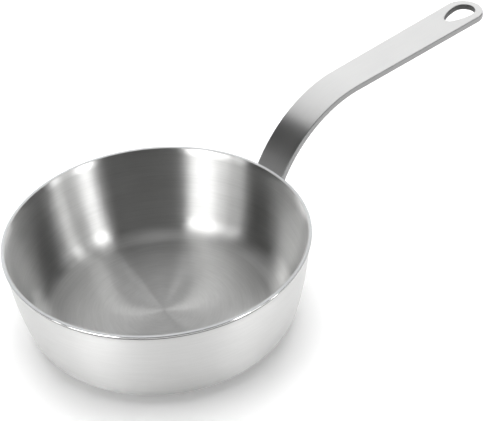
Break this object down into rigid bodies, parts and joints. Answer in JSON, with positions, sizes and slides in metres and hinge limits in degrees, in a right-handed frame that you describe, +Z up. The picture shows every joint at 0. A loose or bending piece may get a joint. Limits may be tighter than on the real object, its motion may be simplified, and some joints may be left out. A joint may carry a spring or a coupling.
{
  "type": "frying pan",
  "caption": "Small deep frying pan of clad steel sheet with a rounded corner, flared lip, and a bent flat-bar handle with an egg-shaped hanging hole.",
  "frame": {"origin": "centre of the pan's flat base, on the surface it stands on", "axes": "+Z up along the pan's axis, +X from the pan's axis along the handle to its tip"},
  "size_m": [0.3287, 0.16, 0.0859],
  "materials": {
    "cooking_face": "fine turned, half mirror",
    "core": "ground edge",
    "outside": "satin",
    "handle": "satin, brushed along the bar",
    "weld": "electrode mark"
  },
  "bodies": {
    "root": {"inner_ply": "cooking_face", "core_ply": "core", "outer_ply": "outside", "handle_strap": "handle", "spot_welds": "weld"}
  },
  "joints": []
}
